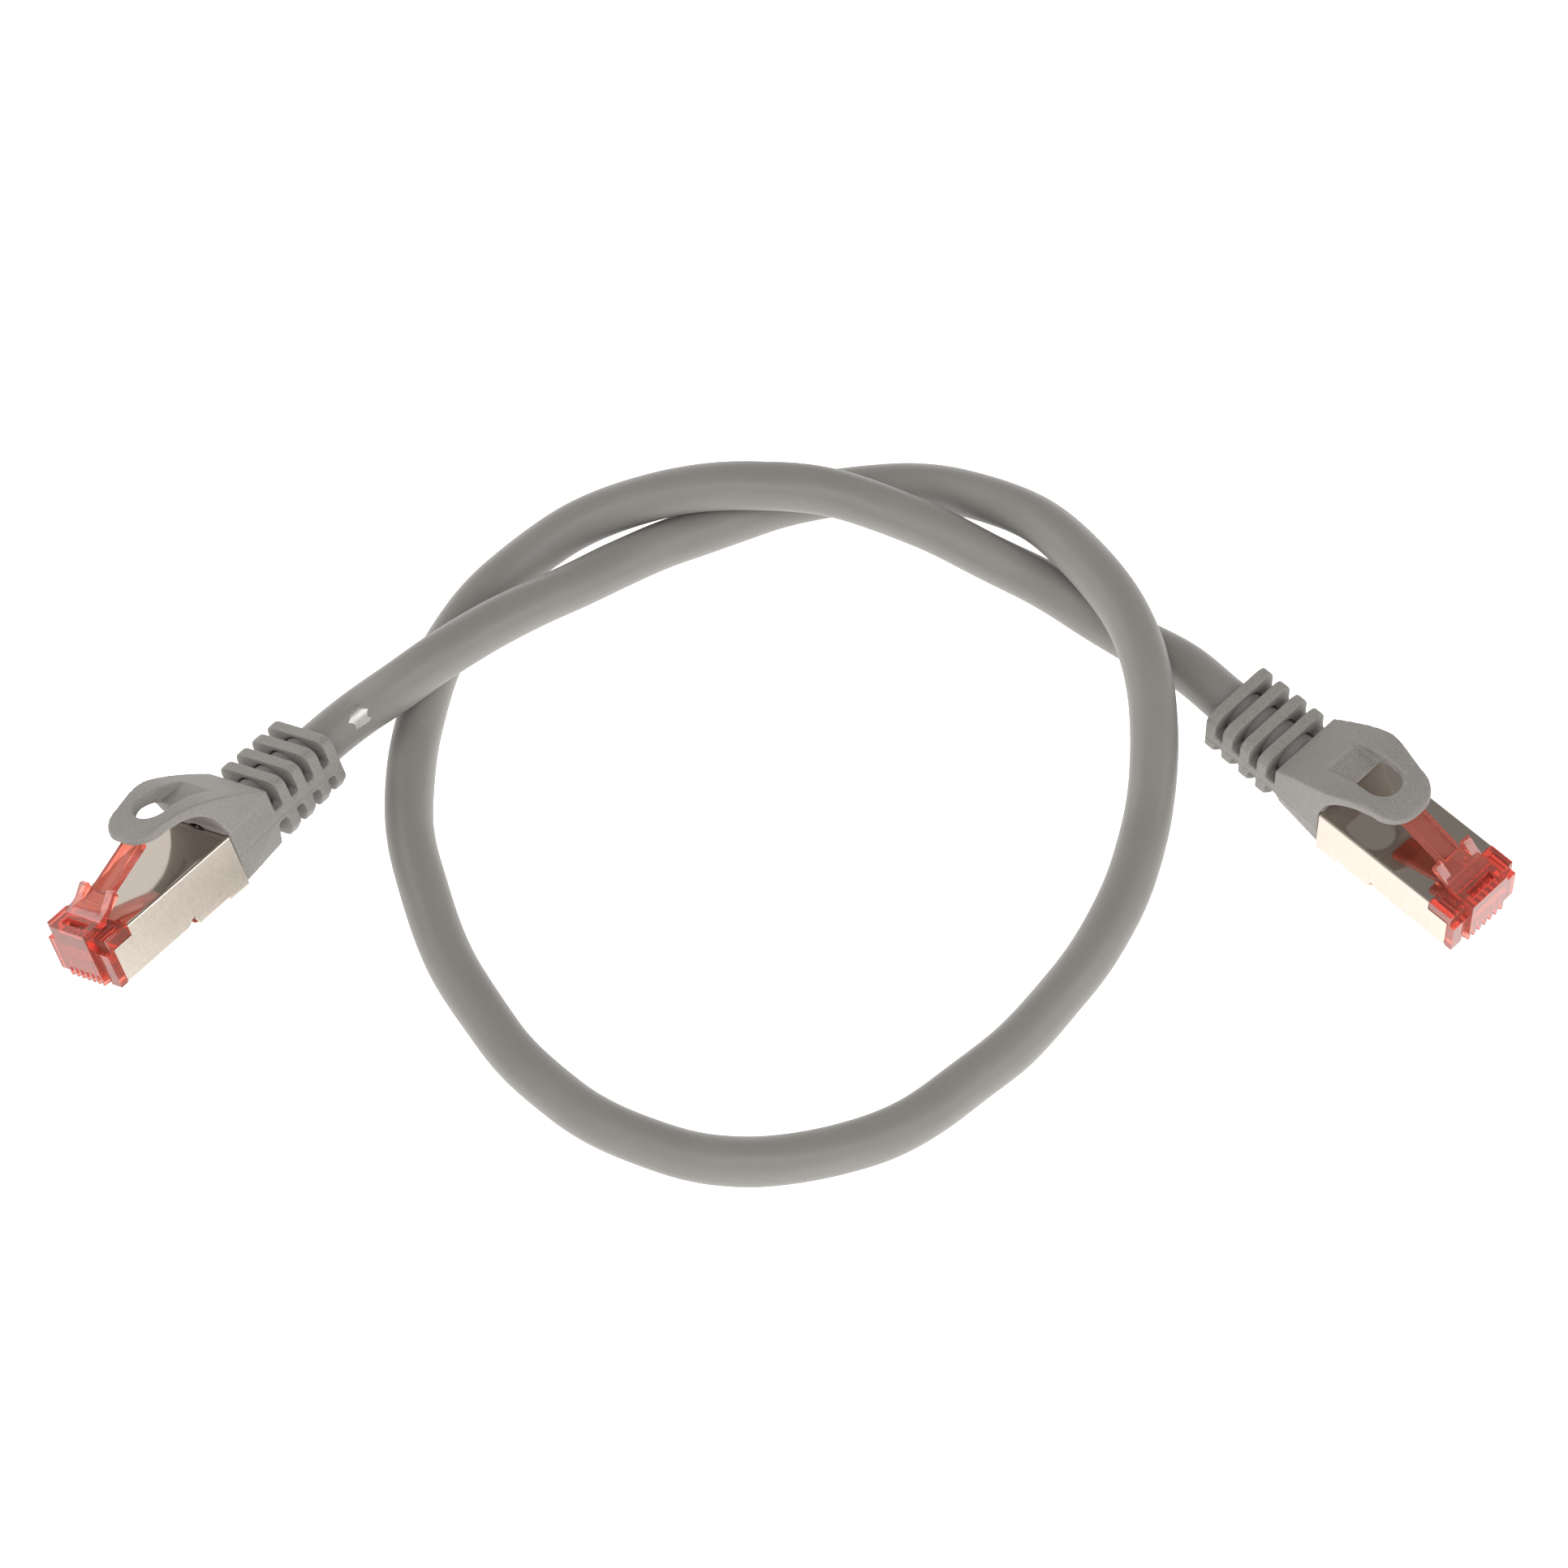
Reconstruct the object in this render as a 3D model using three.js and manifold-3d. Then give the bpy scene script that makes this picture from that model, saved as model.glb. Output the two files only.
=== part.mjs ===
// A shielded ethernet patch cable, 0.53 m from nose to nose: two identical 8-pin plugs joined by a
// cord that lies on a table in a loose overhand knot. Millimetres, +Z up, the table is z = 0.
import * as THREE from "three";
import { mergeVertices } from "three/addons/utils/BufferGeometryUtils.js";
import { ConvexGeometry } from "three/addons/geometries/ConvexGeometry.js";
import Module from "manifold-3d";

const wasm = await Module();
wasm.setup();

// ---------- driving dimensions ----------
// A plug's own frame: x points out of the nose, y to its left, z up through the latch.
// Its origin is the middle of the nose's bottom front edge.
const GAP = 0.08; // clearance between pieces that touch
const PLUG_WIDTH = 11.7;
const PLUG_HEIGHT = 6.6; // without the latch
const HALF = PLUG_WIDTH / 2;

const SHIELD_WALL = 0.3;
const SHIELD_FRONT = -1.75; // front of the side flanges
const SHIELD_TOP_FRONT = -4.85;
const FLANGE_TOP = 5.05;
const SHIELD_REAR = -22.9;
const BELLY_START = -14.2; // where the underside drops behind the jack's mouth
const BELLY = -0.6;
const BELLY_TOE = -13.8; // the housing's belly shows a little in front of the shield's
const FLOOR_FRONT = -9; // front of the shield's floor, behind the contacts
const BELLY_REAR_START = -19.6;
const BELLY_REAR = -1;

const NOSE_BLOCK_WIDTH = 6.4; // middle block of the nose, which carries the latch
const NOSE_BLOCK_HEIGHT = 7.7;
const NOSE_BLOCK_REAR = -2.9;
const NOSE_STEP = 1.3; // how far the side blocks stand back
const NOSE_WALL_FRONT = -0.6;
const NOSE_WALL_HEIGHT = 4.8; // the front wall that crosses the nose below the side blocks
const HOUSING_REAR = -21.2;
const NOSE_GROOVES = [-4.9, -4.2, 4.2, 4.9]; // fine grooves on top of the side blocks
const GROOVE_REAR = -4;
const GROOVE_WIDTH = 0.44;
const GROOVE_DEPTH = 0.3;
const NOSE_WINDOW = { rear: -2.2, front: -1.1, half: 2.1, depth: 1.1 }; // recess in the middle block
const CHANNEL_HALF = 4.2; // the wires' channel through the nose
const CHANNEL_MARGIN = 0.52;
const HOLLOW_HALF = 4.7; // the open rear of the housing, where the wires fan out
const HOLLOW_TOP = 5.5;

const PINS = 8;
const PIN_PITCH = 1.02;
const BLADE = 0.35;
const SLOT = 0.55;
const BLADE_FRONT = -1.1;
const BLADE_REAR = -7.6;
const WIRE_DIAMETER = 0.85;
const LOW_WIRES = 2.9; // height of the lower row of wires
const HIGH_WIRES = 3.7;
const WIRE_FRONT = -2.6;
const WIRE_LEAN = 3; // how strongly a wire holds its direction before it fans out
const WIRE_STEPS = 10;
const WIRE_SIDES = 6;
const BAR_FRONT = -10.5;
const BAR_LENGTH = 3;
const BAR_HALF = 4.6;
const BAR_BOTTOM = 1.9;
const BAR_TOP = 4.7;

const LATCH_ROOT = NOSE_BLOCK_REAR - GAP;
const LATCH_WIDTH = 6.4;
const LATCH_UNDERSIDE = PLUG_HEIGHT + 2 * GAP;
const LEVER_WIDTH = 3.4;
const EAR_GAP_HALF = 2; // the ramp is lower between its two ears

const CORD_DIAMETER = 6.1;
const CORD_HEIGHT = 3.8; // height of the cord's axis in the plug
const BRAID_OUTER = 4.9;
const BRAID_WALL = 0.3;
const JACKET_WALL = 0.5;
const PAIR_DIAMETER = 1.64;
const PAIR_CIRCLE = 1.18; // radius of the circle on which the four pairs lie
const CORD_STEPS = 44; // short enough that the straight steps stay clear of the boots' bores
const CORD_SIDES = 12;
const PAIR_SIDES = 8;

const BOOT_FRONT = -23.1;
const BODY_REAR = -30.7;
const RIBS = 4;
const RIB_START = -32.2;
const RIB_PITCH = 2.85;
const RIB_THICKNESS = 1.55;
const RIB_HALF = 5.45;
const RIB_TOP = 7.7;
const RIB_BOTTOM = -0.9;
const RIB_RISE = 0.2; // each rib's bottom is this much higher than the one in front
const RIB_CHAMFER = [1.1, 1.4];
const RAIL_SIDE = [3.6, 5.35]; // the two rails that join the ribs
const RAIL_HEIGHT = [2.6, 4.4];
const BORE = 6.9;
const BODY_REAR_HALF = 5.45;
const GUARD_ROOT = -23.6; // where the latch guard bends
const GUARD_HINGE_HEIGHT = 7.9;
const GUARD_TIP = -11.9;
const GUARD_HALF = 6.2;
const GUARD_TIP_HALF = 4.4;
const GUARD_TIP_LENGTH = 3.8; // length of the half ellipse that ends the guard
const GUARD_TAPER = [-24, -21.5]; // the guard is widest between these
const WINDOW_REAR = -21; // flat side of the guard's D-shaped window
const WINDOW_MIDDLE = -18.4; // centre of its round side
const WINDOW_RADIUS = 2.6;

const ABOVE = 15; // a height over the whole plug

const FERRULE_REAR = -29.4;
const JACKET_END = -30.4; // the pieces of the cord stop at these places inside a plug
const BRAID_END = -26.2;
const PAIR_END = -23.6;

// Where each plug lies, with its turns about its own x, y and z axes in degrees.
const PLUGS = [
  { name: "left", position: [-85, -21, 6.45], roll: 28.3, pitch: -5.6, yaw: -130.2 },
  { name: "right", position: [86.6, -9.8, 1], roll: 0, pitch: 0, yaw: -44.3 },
];

// The cord's axis from the left boot to the right one: over, under and over itself, round the
// loop, and back under, over and under.
const ROUTE = [
  [-53.7, 17.7, 6.2],
  [-48.3, 20.4, 8.8],
  [-42.4, 24.2, 10.2],
  [-32.1, 32.2, 8.9],
  [-20.9, 40.6, 5.6],
  [-7.1, 48.9, 3.2],
  [5.9, 53.2, 3.05],
  [16.9, 53.5, 4.3],
  [28.4, 48.3, 7.6],
  [37.4, 39.5, 9.5],
  [43.9, 27.1, 9.6],
  [46.1, 15.1, 6.6],
  [44.9, 4.3, 3.5],
  [41.8, -6.5, 3.05],
  [35.9, -18.2, 3.05],
  [26.9, -29.5, 3.05],
  [15.4, -38.9, 3.05],
  [1.4, -44, 3.05],
  [-12.5, -43.4, 3.05],
  [-26.1, -36.5, 3.05],
  [-36.4, -24.7, 3.05],
  [-43, -11.2, 3.05],
  [-46.3, 3, 3.05],
  [-46, 16.8, 3.05],
  [-42.6, 30.1, 3.05],
  [-34.1, 41.3, 4.1],
  [-22.6, 47.9, 7],
  [-9.1, 50.1, 9.5],
  [4.9, 49.2, 9.5],
  [16.9, 46, 7.5],
  [30.4, 40.2, 4.2],
  [42.9, 32.2, 3.05],
  [50.3, 25.9, 4.4],
];

// ---------- materials ----------
const paint = (color, roughness, metalness, opacity = 1) =>
  new THREE.MeshStandardMaterial({ color, roughness, metalness, opacity, transparent: opacity < 1 });
const MATERIALS = {
  housing: paint(0xd8402e, 0.15, 0, 0.7),
  nickel: paint(0xc9c5bd, 0.25, 1),
  boot: paint(0x8f8b85, 0.7, 0),
  jacket: paint(0x8a8680, 0.55, 0),
  gold: paint(0xe0b050, 0.25, 1),
  tinnedCopper: paint(0xb8b4ae, 0.4, 1),
  foil: paint(0xd2d4d6, 0.2, 1),
  natural: paint(0xe8e6e0, 0.3, 0, 0.8),
};
const WIRE_COLOURS = [
  0xf0d8c0,
  0xe07820,
  0xc8e0c4,
  0x2858b0,
  0xc4d0e8,
  0x2c8c48,
  0xe0d0c4,
  0x7a4a2c,
];
const PAIR_NAMES = ["orange", "blue", "green", "brown"];

// ---------- solids ----------
function solid(geometry) {
  const plain = geometry.clone();
  plain.deleteAttribute("normal");
  plain.deleteAttribute("uv");
  const merged = mergeVertices(plain, 1e-4);
  return new wasm.Manifold(
    new wasm.Mesh({
      numProp: 3,
      vertProperties: new Float32Array(merged.attributes.position.array),
      triVerts: new Uint32Array(merged.index.array),
    }),
  );
}

function piece(name, shape, material) {
  const { vertProperties, triVerts } = shape.getMesh();
  const geometry = new THREE.BufferGeometry();
  geometry.setAttribute("position", new THREE.BufferAttribute(vertProperties, 3));
  geometry.setIndex(new THREE.BufferAttribute(triVerts, 1));
  const flat = geometry.toNonIndexed();
  flat.computeVertexNormals();
  const mesh = new THREE.Mesh(flat, material);
  mesh.name = name;
  return mesh;
}

const join = (shapes) => shapes.reduce((all, shape) => all.add(shape));
const cut = (shape, tools) => tools.reduce((rest, tool) => rest.subtract(tool), shape);
const outline = (points) => new THREE.Shape(points.map(([x, y]) => new THREE.Vector2(x, y)));

function block([x0, x1], [y0, y1], [z0, z1]) {
  const box = new THREE.BoxGeometry(x1 - x0, y1 - y0, z1 - z0);
  return solid(box.translate((x0 + x1) / 2, (y0 + y1) / 2, (z0 + z1) / 2));
}

function extrude(shape, depth) {
  return new THREE.ExtrudeGeometry(shape, { depth, bevelEnabled: false, curveSegments: 8 });
}

// A side view (x, z) carried across from y0 to y1.
function sideways(points, [y0, y1]) {
  const turned = new THREE.Matrix4().makeBasis(
    new THREE.Vector3(1, 0, 0),
    new THREE.Vector3(0, 0, 1),
    new THREE.Vector3(0, -1, 0),
  );
  return solid(extrude(outline(points), y1 - y0).applyMatrix4(turned).translate(0, y1, 0));
}

// An end view (y, z) carried along from x0 to x1.
function lengthways(shape, [x0, x1]) {
  const turned = new THREE.Matrix4().makeBasis(
    new THREE.Vector3(0, 1, 0),
    new THREE.Vector3(0, 0, 1),
    new THREE.Vector3(1, 0, 0),
  );
  return solid(extrude(shape, x1 - x0).applyMatrix4(turned).translate(x0, 0, 0));
}

// A plan view (x, y) carried up from z0 to z1.
function upwards(shape, [z0, z1]) {
  return solid(extrude(shape, z1 - z0).translate(0, 0, z0));
}

// A round bar along x.
function rod(radius, [x0, x1], y, z, sides) {
  const bar = new THREE.CylinderGeometry(radius, radius, x1 - x0, sides);
  return solid(bar.rotateZ(Math.PI / 2).translate((x0 + x1) / 2, y, z));
}

const hull = (points) => solid(new ConvexGeometry(points.map((p) => new THREE.Vector3(...p))));

// ---------- the plug's pieces ----------
const pinNumbers = [...Array(PINS).keys()];
const pinY = (pin) => ((PINS - 1) / 2 - pin) * PIN_PITCH;
const isHigh = (pin) => [1, 3, 4, 6].includes(pin);
const wireZ = (pin) => (isHigh(pin) ? HIGH_WIRES : LOW_WIRES);

// The side view shared by the shield's outside and, moved in by its wall, by the housing in it.
function shieldProfile(inset) {
  return [
    [SHIELD_FRONT, inset],
    [SHIELD_FRONT, FLANGE_TOP],
    [SHIELD_TOP_FRONT, FLANGE_TOP],
    [SHIELD_TOP_FRONT, PLUG_HEIGHT - inset],
    [SHIELD_REAR + inset, PLUG_HEIGHT - inset],
    [SHIELD_REAR + inset, BELLY_REAR + inset],
    [BELLY_REAR_START - inset, BELLY_REAR + inset],
    [BELLY_REAR_START - inset, BELLY + inset],
    [BELLY_START - inset, BELLY + inset],
    [BELLY_START - inset, inset],
  ];
}

function housing() {
  const inset = SHIELD_WALL + GAP;
  const core = sideways(
    [
      [-NOSE_STEP, 0],
      [-NOSE_STEP, PLUG_HEIGHT],
      [SHIELD_TOP_FRONT + GAP, PLUG_HEIGHT],
      [SHIELD_TOP_FRONT + GAP, PLUG_HEIGHT - inset],
      [HOUSING_REAR, PLUG_HEIGHT - inset],
      [HOUSING_REAR, BELLY + inset],
      [BELLY_TOE, BELLY + inset],
      [BELLY_TOE, -GAP],
      [BELLY_START - inset, -GAP],
      [BELLY_START - inset, inset],
      [FLOOR_FRONT + GAP, inset],
      [FLOOR_FRONT + GAP, 0],
    ],
    [-HALF + inset, HALF - inset],
  );
  const width = [-HALF + GAP, HALF - GAP];
  const cheeks = sideways(
    [
      [-NOSE_STEP, 0],
      [-NOSE_STEP, PLUG_HEIGHT],
      [SHIELD_TOP_FRONT + GAP, PLUG_HEIGHT],
      [SHIELD_TOP_FRONT + GAP, FLANGE_TOP + GAP],
      [SHIELD_FRONT + GAP, FLANGE_TOP + GAP],
      [SHIELD_FRONT + GAP, 0],
    ],
    width,
  );
  const saddleWidth = [-NOSE_BLOCK_WIDTH / 2, NOSE_BLOCK_WIDTH / 2];
  const frontWall = block([-NOSE_STEP, NOSE_WALL_FRONT], width, [0, NOSE_WALL_HEIGHT]);
  const saddle = block([NOSE_BLOCK_REAR, 0], saddleWidth, [0, NOSE_BLOCK_HEIGHT]);
  const groove = (y) =>
    block(
      [GROOVE_REAR, 1],
      [y - GROOVE_WIDTH / 2, y + GROOVE_WIDTH / 2],
      [PLUG_HEIGHT - GROOVE_DEPTH, PLUG_HEIGHT + 1],
    );
  const window = block(
    [NOSE_WINDOW.rear, NOSE_WINDOW.front],
    [-NOSE_WINDOW.half, NOSE_WINDOW.half],
    [NOSE_BLOCK_HEIGHT - NOSE_WINDOW.depth, NOSE_BLOCK_HEIGHT + 1],
  );
  const wireChannel = block(
    [BAR_FRONT - 1, WIRE_FRONT + 0.3],
    [-CHANNEL_HALF, CHANNEL_HALF],
    [LOW_WIRES - CHANNEL_MARGIN, HIGH_WIRES + CHANNEL_MARGIN],
  );
  const hollow = block(
    [HOUSING_REAR - 1, BAR_FRONT + GAP],
    [-HOLLOW_HALF, HOLLOW_HALF],
    [-0.1, HOLLOW_TOP],
  );
  const slotSide = [
    [1, -1],
    [1, 1.3],
    [-0.5, 1.5],
    [BLADE_FRONT + 0.3, LOW_WIRES],
    [BLADE_REAR - 0.3, LOW_WIRES],
    [BLADE_REAR - 0.3, -1],
  ];
  const slot = (pin) => sideways(slotSide, [pinY(pin) - SLOT / 2, pinY(pin) + SLOT / 2]);
  const openings = [...NOSE_GROOVES.map(groove), window, wireChannel, hollow, ...pinNumbers.map(slot)];
  return cut(join([core, cheeks, frontWall, saddle]), openings);
}

// The folded sheet: a sleeve open at the nose, a wall across its rear, and the tail that is
// crimped on the braid.
function shield() {
  const sleeve = sideways(shieldProfile(0), [-HALF, HALF]);
  const between = [-HALF + SHIELD_WALL, HALF - SHIELD_WALL];
  const inside = sideways(shieldProfile(SHIELD_WALL), between);
  const mouth = block([SHIELD_TOP_FRONT - 1, 1], between, [-1, PLUG_HEIGHT - SHIELD_WALL]);
  const contactWindow = block([FLOOR_FRONT, 1], between, [-1, 1]);
  const toeWindow = block([BELLY_START - 1, BELLY_TOE], between, [BELLY + SHIELD_WALL, 0]);
  const boreRadius = BRAID_OUTER / 2 + GAP;
  const tail = rod(boreRadius + SHIELD_WALL, [FERRULE_REAR, SHIELD_REAR + 0.1], 0, CORD_HEIGHT, 16);
  const bore = rod(boreRadius, [FERRULE_REAR - 1, SHIELD_REAR + 1], 0, CORD_HEIGHT, 16);
  const open = cut(sleeve, [inside, mouth, contactWindow, toeWindow]);
  return open.add(tail).subtract(bore);
}

// The spring lever: a ramp from the nose to the two ears that hold in the jack, then the lever.
function latch() {
  const ramp = sideways(
    [
      [LATCH_ROOT, LATCH_UNDERSIDE],
      [LATCH_ROOT, NOSE_BLOCK_HEIGHT],
      [-6.4, 9.8],
      [-6.9, 9.65],
      [-6.9, 8.75],
      [-4.3, 7.5],
      [-3.7, LATCH_UNDERSIDE],
    ],
    [-LATCH_WIDTH / 2, LATCH_WIDTH / 2],
  );
  const stepBetweenEars = sideways(
    [
      [-5.2, 8.9],
      [-5.2, 11],
      [-8, 11],
      [-8, 8.9],
    ],
    [-EAR_GAP_HALF, EAR_GAP_HALF],
  );
  const lever = sideways(
    [
      [-6.5, 8.9],
      [-14.2, 11.5],
      [-14.2, 10.5],
      [-6.5, 7.95],
      [-4.7, 7.65],
    ],
    [-LEVER_WIDTH / 2, LEVER_WIDTH / 2],
  );
  return ramp.subtract(stepBetweenEars).add(lever);
}

function loadBar() {
  const rear = BAR_FRONT - BAR_LENGTH;
  const plate = block([rear, BAR_FRONT - GAP], [-BAR_HALF, BAR_HALF], [BAR_BOTTOM, BAR_TOP]);
  const radius = WIRE_DIAMETER / 2 + GAP;
  const hole = (pin) => rod(radius, [rear - 1, BAR_FRONT + 1], pinY(pin), wireZ(pin), 8);
  return cut(plate, pinNumbers.map(hole));
}

// A stamped blade: it fills its slot from the plug's mouth up to the wire that it pierces.
function contact(pin) {
  const tip = wireZ(pin) - WIRE_DIAMETER / 2 - GAP;
  return sideways(
    [
      [BLADE_FRONT, 0.45],
      [BLADE_FRONT, 1.3],
      [-2.6, 1.9],
      [-2.9, tip],
      [-3.6, 1.9],
      [-6, 1.9],
      [-6.6, tip],
      [-7.2, 1.9],
      [BLADE_REAR, 1.9],
      [BLADE_REAR, 0.7],
      [-2, 0.35],
    ],
    [pinY(pin) - BLADE / 2, pinY(pin) + BLADE / 2],
  );
}

// Where each wire leaves its pair: the pairs lie left, above, below and right of the cord's axis.
function wireStart(pin) {
  const half = WIRE_DIAMETER / 2 + 0.02;
  const out = 1.3;
  const starts = [
    [out, -half],
    [out, half],
    [half, -out],
    [half, out],
    [-half, out],
    [-half, -out],
    [-out, half],
    [-out, -half],
  ];
  const [y, z] = starts[pin];
  return new THREE.Vector3(PAIR_END + 0.3, y, CORD_HEIGHT + z);
}

// A ring of points, about a middle.
function ring(radius, sides, [u, v] = [0, 0]) {
  return [...Array(sides).keys()].map((i) => {
    const angle = (i / sides) * 2 * Math.PI;
    return [u + radius * Math.cos(angle), v + radius * Math.sin(angle)];
  });
}

// An end view that is carried along a path.
function along(path, shape, steps) {
  return solid(new THREE.ExtrudeGeometry(shape, { extrudePath: path, steps, bevelEnabled: false }));
}

function wire(pin) {
  const [y, z] = [pinY(pin), wireZ(pin)];
  const path = new THREE.CurvePath();
  const front = new THREE.Vector3(WIRE_FRONT, y, z);
  const bar = new THREE.Vector3(BAR_FRONT - BAR_LENGTH - 1, y, z);
  const back = wireStart(pin);
  const lean = new THREE.Vector3(WIRE_LEAN, 0, 0);
  path.add(new THREE.LineCurve3(front, bar));
  path.add(new THREE.CubicBezierCurve3(bar, bar.clone().sub(lean), back.clone().add(lean), back));
  return along(path, outline(ring(WIRE_DIAMETER / 2, WIRE_SIDES)), WIRE_STEPS);
}

const octagon = (halfWidth, low, high, chamferY, chamferZ) =>
  outline([
    [-halfWidth + chamferY, low],
    [halfWidth - chamferY, low],
    [halfWidth, low + chamferZ],
    [halfWidth, high - chamferZ],
    [halfWidth - chamferY, high],
    [-halfWidth + chamferY, high],
    [-halfWidth, high - chamferZ],
    [-halfWidth, low + chamferZ],
  ]);

// The side view of the latch guard with the boot's shoulder that it grows out of.
const GUARD_PROFILE = [
  [BODY_REAR, 7.7],
  [-28, 9.6],
  [-25.2, 11.3],
  [-22.2, 12.8],
  [-19, 13.55],
  [-15, 13.5],
  [-12.2, 12.9],
  [-11.9, 12.4],
  [-12.3, 12.1],
  [-15.5, 12.15],
  [-18.5, 12.15],
  [-20.6, 11.4],
  [-21.9, 10],
  [-22.7, 8],
  [BOOT_FRONT, 6.9],
  [BODY_REAR, 6.9],
];

function guardPlan() {
  const middle = GUARD_TIP - GUARD_TIP_LENGTH;
  const [widening, narrowing] = GUARD_TAPER;
  const plan = new THREE.Shape();
  plan.moveTo(BODY_REAR, BODY_REAR_HALF);
  plan.lineTo(BODY_REAR, -BODY_REAR_HALF);
  plan.lineTo(widening, -GUARD_HALF);
  plan.lineTo(narrowing, -GUARD_HALF);
  plan.lineTo(middle, -GUARD_TIP_HALF);
  plan.absellipse(middle, 0, GUARD_TIP_LENGTH, GUARD_TIP_HALF, -Math.PI / 2, Math.PI / 2);
  plan.lineTo(narrowing, GUARD_HALF);
  plan.lineTo(widening, GUARD_HALF);
  plan.closePath();
  return plan;
}

// A D with its flat side to the rear, and the ramp that leads down into it.
function guardWindow() {
  const plan = new THREE.Shape();
  plan.moveTo(WINDOW_REAR, -WINDOW_RADIUS);
  plan.lineTo(WINDOW_MIDDLE, -WINDOW_RADIUS);
  plan.absarc(WINDOW_MIDDLE, 0, WINDOW_RADIUS, -Math.PI / 2, Math.PI / 2);
  plan.lineTo(WINDOW_REAR, WINDOW_RADIUS);
  plan.closePath();
  const ramp = hull(
    [-2.7, 2.7].flatMap((y) => [
      [-25.2, y, 11.25],
      [-25.2, y, ABOVE],
      [-20.9, y, ABOVE],
      [-20.9, y, 11.4],
    ]),
  );
  return upwards(plan, [LATCH_UNDERSIDE, ABOVE]).add(ramp);
}

const guardAndShoulder = () =>
  sideways(GUARD_PROFILE, [-GUARD_HALF, GUARD_HALF])
    .intersect(upwards(guardPlan(), [0, ABOVE]))
    .subtract(guardWindow());

function latchGuard() {
  const side = [-GUARD_HALF, GUARD_HALF];
  const moving = block([GUARD_ROOT + GAP, 0], side, [GUARD_HINGE_HEIGHT, ABOVE]);
  return guardAndShoulder().intersect(moving);
}

// The body that grips the shield's rear, the ribs behind it, and the rails that join them.
function boot() {
  const body = hull(
    [-1, 1].flatMap((side) => [
      [BOOT_FRONT, side * HALF, 7.5],
      [BOOT_FRONT, side * (HALF - 0.05), 3.2],
      [BOOT_FRONT, side * 5.1, BELLY_REAR],
      [BODY_REAR, side * BODY_REAR_HALF, RIB_TOP],
      [BODY_REAR, side * BODY_REAR_HALF, 3.2],
      [BODY_REAR, side * 4.1, -0.8],
    ]),
  );
  const fixed = block([BODY_REAR, GUARD_ROOT], [-GUARD_HALF, GUARD_HALF], [PLUG_HEIGHT, ABOVE]);
  const shoulder = guardAndShoulder().intersect(fixed);
  const rib = (i) => {
    const front = RIB_START - i * RIB_PITCH;
    const shape = octagon(RIB_HALF, RIB_BOTTOM + RIB_RISE * i, RIB_TOP, ...RIB_CHAMFER);
    return lengthways(shape, [front - RIB_THICKNESS, front]);
  };
  const ribs = [...Array(RIBS).keys()].map(rib);
  const rearFace = RIB_START - RIB_PITCH * (RIBS - 1) - RIB_THICKNESS;
  const railLength = [rearFace + RIB_THICKNESS / 2, BODY_REAR + 0.1];
  const [railIn, railOut] = RAIL_SIDE;
  const rails = [
    block(railLength, [railIn, railOut], RAIL_HEIGHT),
    block(railLength, [-railOut, -railIn], RAIL_HEIGHT),
  ];
  const bore = rod(BORE / 2, [rearFace - 1, BOOT_FRONT + 1], 0, CORD_HEIGHT, 16);
  return join([body, shoulder, ...ribs, ...rails]).subtract(bore);
}

// ---------- a whole plug ----------
function plug({ name, position, roll, pitch, yaw }) {
  const group = new THREE.Group();
  const add = (part, shape, material) => group.add(piece(`${name}_${part}`, shape, material));
  add("housing", housing(), MATERIALS.housing);
  add("shield", shield(), MATERIALS.nickel);
  add("latch", latch(), MATERIALS.housing);
  add("boot", boot(), MATERIALS.boot);
  add("latch_guard", latchGuard(), MATERIALS.boot);
  add("load_bar", loadBar(), MATERIALS.natural);
  for (const pin of pinNumbers) {
    add(`contact_${pin + 1}`, contact(pin), MATERIALS.gold);
    add(`wire_${pin + 1}`, wire(pin), paint(WIRE_COLOURS[pin], 0.4, 0));
  }
  const turn = [roll, pitch, yaw].map(THREE.MathUtils.degToRad);
  group.rotation.set(...turn, "ZYX");
  group.position.set(...position);
  group.updateMatrixWorld(true);
  return group;
}

// ---------- the cord ----------
function cordPath(plugs) {
  const inPlug = (group, x) => new THREE.Vector3(x, 0, CORD_HEIGHT).applyMatrix4(group.matrixWorld);
  const depths = [PAIR_END, -30, -36, -42, -44];
  const [left, right] = plugs;
  return new THREE.CatmullRomCurve3([
    ...depths.map((x) => inPlug(left, x)),
    ...ROUTE.map((p) => new THREE.Vector3(...p)),
    ...depths.map((x) => inPlug(right, x)).reverse(),
  ]);
}

// A tube round the cord's axis, cut off at the same place inside each plug.
function layer(path, plugs, outer, inner, end) {
  const shape = outline(ring(outer, CORD_SIDES));
  shape.holes.push(new THREE.Path(ring(inner, CORD_SIDES).map(([x, y]) => new THREE.Vector2(x, y))));
  return trim(along(path, shape, CORD_STEPS), plugs, end);
}

function trim(shape, plugs, end) {
  const beyond = new THREE.BoxGeometry(20, 16, 16).translate(end + 10, 0, CORD_HEIGHT);
  const tools = plugs.map((group) => solid(beyond.clone().applyMatrix4(group.matrixWorld)));
  return cut(shape, tools);
}

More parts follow.
